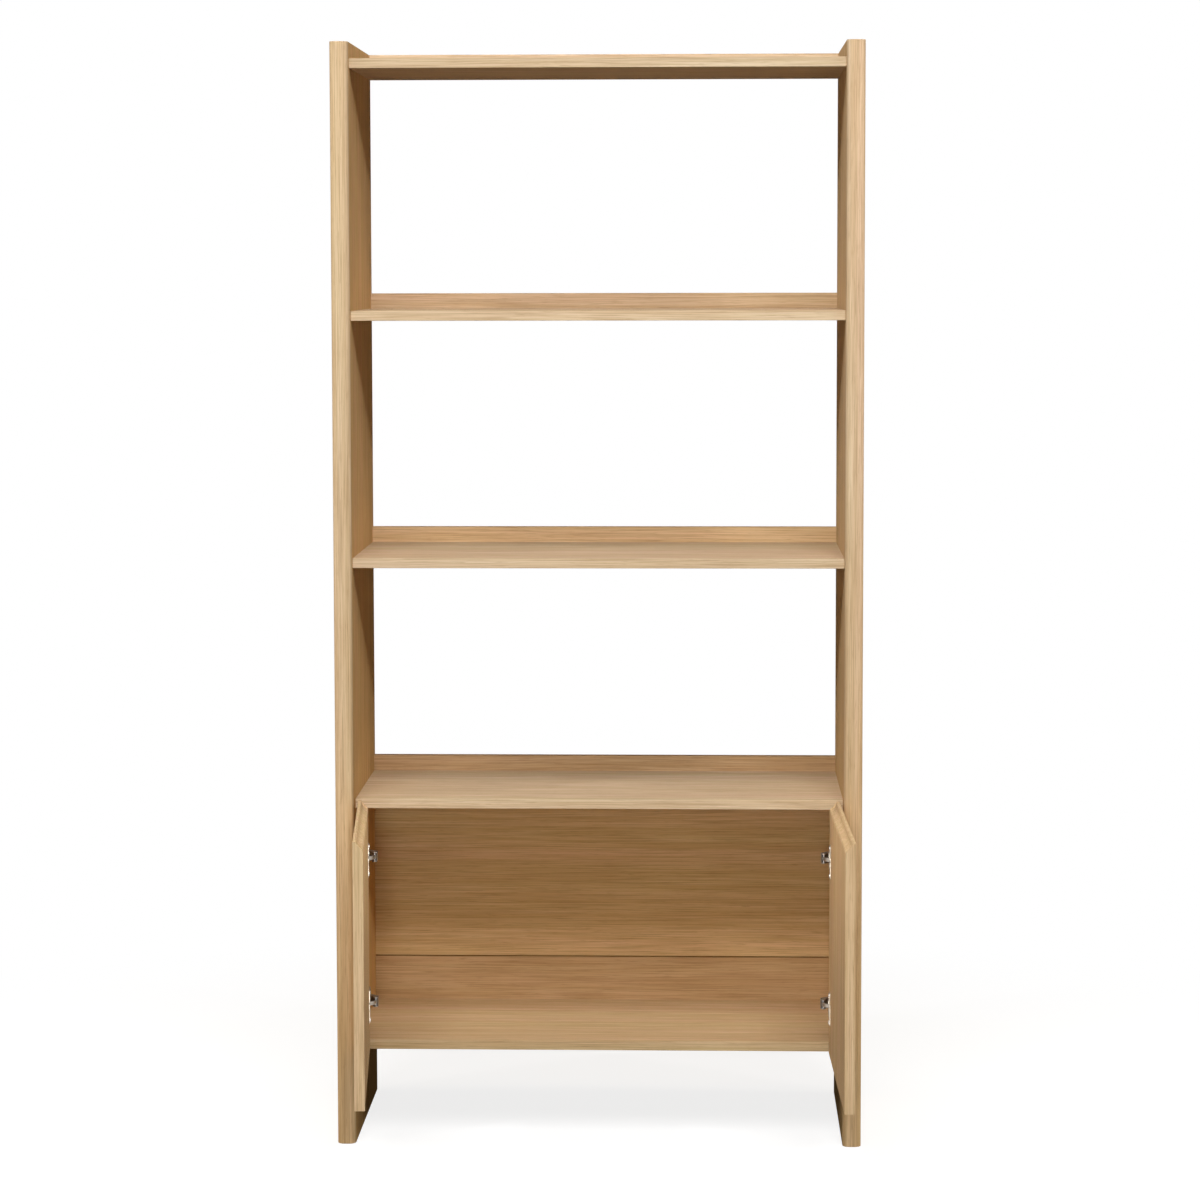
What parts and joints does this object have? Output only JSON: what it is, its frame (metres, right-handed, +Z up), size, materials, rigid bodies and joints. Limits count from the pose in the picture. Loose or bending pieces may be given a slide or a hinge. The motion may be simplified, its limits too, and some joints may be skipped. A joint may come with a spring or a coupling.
{
  "type": "bookcase with cabinet",
  "caption": "Tall open bookcase: shelves between thick side panels, a low upstand behind each shelf, and a cabinet with hinged doors at the bottom, stored open.",
  "frame": {"origin": "on the floor, midway across the width, and midway between the wall side and the front edges of the open doors", "axes": "+Z up, +Y towards the wall side, +X to the right as seen from the front"},
  "size_m": [0.86, 0.7256, 1.8],
  "materials": {
    "oak_veneer": "matt pale oak veneer on board, grain along each board",
    "dowel_beech": "plain beech",
    "cam_zinc": "raw die-cast zinc",
    "fastener_steel": "zinc plated",
    "pin_steel": "plain bright steel",
    "hinge_nickel": "satin nickel plate"
  },
  "bodies": {
    "carcass": {"top_shelf": "oak_veneer", "top_upstand": "oak_veneer", "upper_shelf": "oak_veneer", "upper_upstand": "oak_veneer", "middle_shelf": "oak_veneer", "middle_upstand": "oak_veneer", "cabinet_top": "oak_veneer", "cabinet_upstand": "oak_veneer", "cabinet_floor": "oak_veneer", "cabinet_back_rail": "oak_veneer", "cabinet_back_panel": "oak_veneer", "left_lower_hinge_arm": "hinge_nickel", "left_lower_hinge_plate": "hinge_nickel", "left_upper_hinge_arm": "hinge_nickel", "left_upper_hinge_plate": "hinge_nickel", "left_side": "oak_veneer", "right_lower_hinge_arm": "hinge_nickel", "right_lower_hinge_plate": "hinge_nickel", "right_upper_hinge_arm": "hinge_nickel", "right_upper_hinge_plate": "hinge_nickel", "right_side": "oak_veneer", "hinge_arm_pins": "pin_steel", "hinge_plate_screws": "fastener_steel", "hinge_arm_screws": "fastener_steel", "cam_locks": "cam_zinc", "cam_bolts": "fastener_steel", "dowels": "dowel_beech"},
    "left_door_leaf": {"left_door": "oak_veneer", "left_lower_hinge_cup": "hinge_nickel", "left_upper_hinge_cup": "hinge_nickel", "left_cup_pins": "pin_steel", "left_cup_screws": "fastener_steel"},
    "left_hinge_links": {"left_lower_hinge_link": "hinge_nickel", "left_upper_hinge_link": "hinge_nickel"},
    "right_door_leaf": {"right_door": "oak_veneer", "right_lower_hinge_cup": "hinge_nickel", "right_upper_hinge_cup": "hinge_nickel", "right_cup_pins": "pin_steel", "right_cup_screws": "fastener_steel"},
    "right_hinge_links": {"right_lower_hinge_link": "hinge_nickel", "right_upper_hinge_link": "hinge_nickel"}
  },
  "joints": [
    {"name": "left_door_hinge", "type": "hinge", "parent": "carcass", "child": "left_door_leaf", "pos_m": [-0.3895, 0.02533, 0.351], "axis": [0, 0, -1], "range_deg": [-85.3, 9.7]},
    {"name": "left_link_pin", "type": "hinge", "parent": "carcass", "child": "left_hinge_links", "pos_m": [-0.36872, 0.03733, 0.351], "axis": [0, 0, -1], "range_deg": [-2.56, 22.45]},
    {"name": "right_door_hinge", "type": "hinge", "parent": "carcass", "child": "right_door_leaf", "pos_m": [0.3895, 0.02533, 0.351], "axis": [0, 0, 1], "range_deg": [-91.3, 3.7]},
    {"name": "right_link_pin", "type": "hinge", "parent": "carcass", "child": "right_hinge_links", "pos_m": [0.36872, 0.03733, 0.351], "axis": [0, 0, 1], "range_deg": [-0.98, 24.03]}
  ],
  "couplings": [
    {"joint": "left_link_pin", "follows": "left_door_hinge", "ratio": -0.26312},
    {"joint": "right_link_pin", "follows": "right_door_hinge", "ratio": -0.26312}
  ]
}
